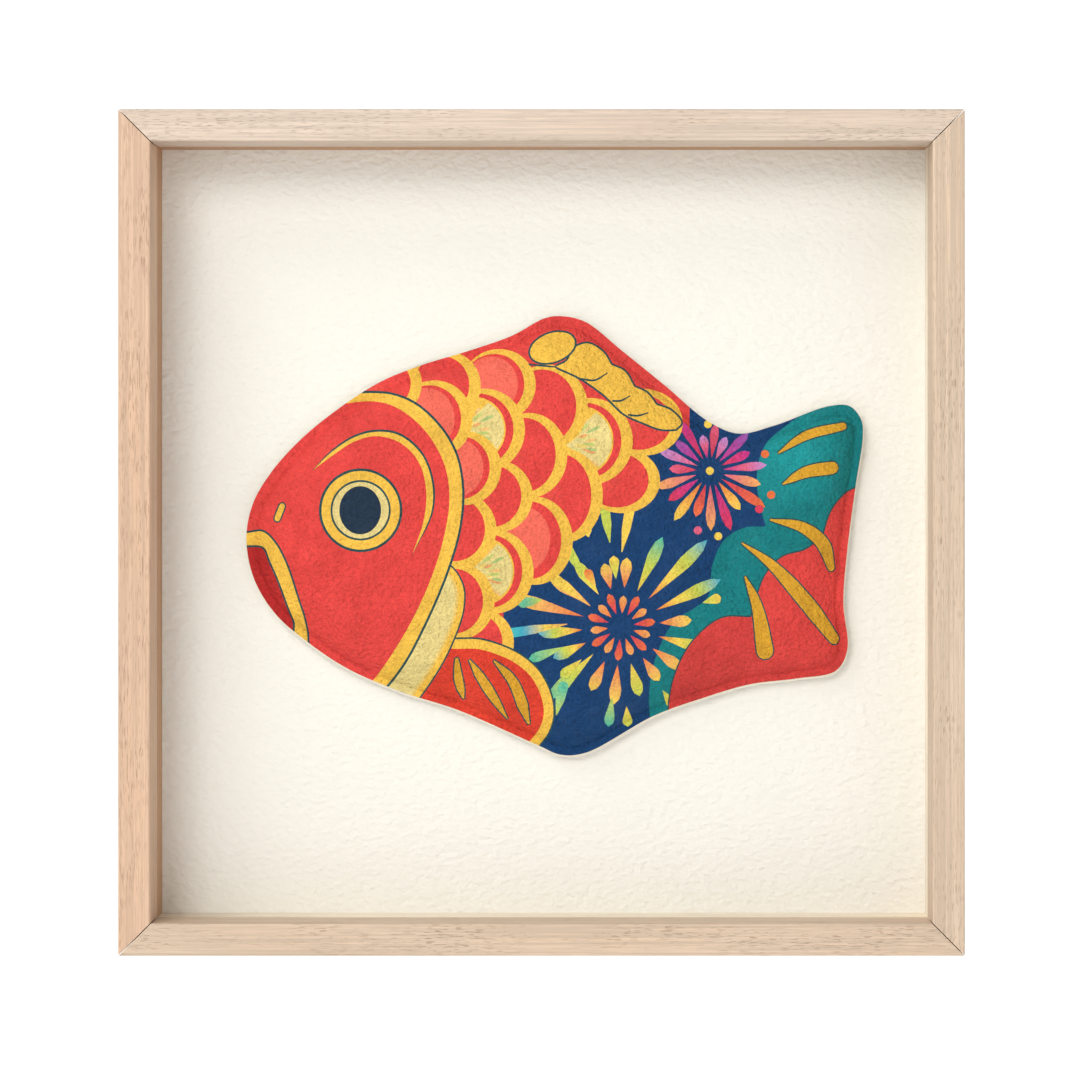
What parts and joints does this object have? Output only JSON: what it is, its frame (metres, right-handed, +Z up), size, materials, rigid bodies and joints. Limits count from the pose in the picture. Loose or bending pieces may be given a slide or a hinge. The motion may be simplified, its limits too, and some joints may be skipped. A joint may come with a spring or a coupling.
{
  "type": "framed carp relief",
  "caption": "Moulded-paper carp relief with a festive printed skin, mounted in a square glazed wooden shadow-box frame that stands or hangs.",
  "frame": {"origin": "centre of the bottom rail's underside, which the frame stands on", "axes": "+X right seen from the front, +Z up, and the picture faces -Y"},
  "size_m": [0.21, 0.0311, 0.21],
  "materials": {
    "rail": "pale ash-like hardwood, fine grain, unvarnished satin",
    "spacer": "thin pale wood strip",
    "glazing": "clear sheet",
    "ground": "cream felt-marked paper",
    "board": "grey-white mount board",
    "core": "white card and moulded paper",
    "print": "printed washi, matt",
    "foam": "white adhesive foam pad",
    "panel": "brown fibreboard",
    "steel": "zinc-plated steel",
    "brass": "brassed steel"
  },
  "bodies": {
    "frame": {"rail_top": "rail", "spacer_top": "spacer", "rail_bottom": "rail", "spacer_bottom": "spacer", "rail_left": "rail", "spacer_left": "spacer", "rail_right": "rail", "spacer_right": "spacer", "v_nail_top_left": "steel", "v_nail_top_right": "steel", "v_nail_bottom_left": "steel", "v_nail_bottom_right": "steel", "glazing_sheet": "glazing", "ground_paper": "ground", "mount_board": "board", "carp_backing": "core", "carp_shell": "core", "carp_print": "print", "foam_pad_1": "foam", "foam_pad_2": "foam", "foam_pad_3": "foam", "foam_pad_4": "foam", "foam_pad_5": "foam", "back_panel": "panel", "button_screw_left_upper": "brass", "button_screw_left_lower": "brass", "button_screw_right_upper": "brass", "button_screw_right_lower": "brass", "hanger_plate": "brass", "hanger_rivet_left": "brass", "hanger_rivet_right": "brass"},
    "button_left_upper": {"turn_button_left_upper": "steel"},
    "button_left_lower": {"turn_button_left_lower": "steel"},
    "button_right_upper": {"turn_button_right_upper": "steel"},
    "button_right_lower": {"turn_button_right_lower": "steel"},
    "ring": {"hanger_ring": "brass"}
  },
  "joints": [
    {"name": "button_left_upper_turn", "type": "hinge", "parent": "frame", "child": "button_left_upper", "pos_m": [-0.1025, 0.014, 0.155], "axis": [0, 1, 0], "continuous": true},
    {"name": "button_left_lower_turn", "type": "hinge", "parent": "frame", "child": "button_left_lower", "pos_m": [-0.1025, 0.014, 0.055], "axis": [0, 1, 0], "continuous": true},
    {"name": "button_right_upper_turn", "type": "hinge", "parent": "frame", "child": "button_right_upper", "pos_m": [0.1025, 0.014, 0.155], "axis": [0, 1, 0], "continuous": true},
    {"name": "button_right_lower_turn", "type": "hinge", "parent": "frame", "child": "button_right_lower", "pos_m": [0.1025, 0.014, 0.055], "axis": [0, 1, 0], "continuous": true},
    {"name": "ring_swing", "type": "hinge", "parent": "frame", "child": "ring", "pos_m": [0, 0.0156, 0.19], "axis": [1, 0, 0], "range_deg": [0, 180]}
  ]
}
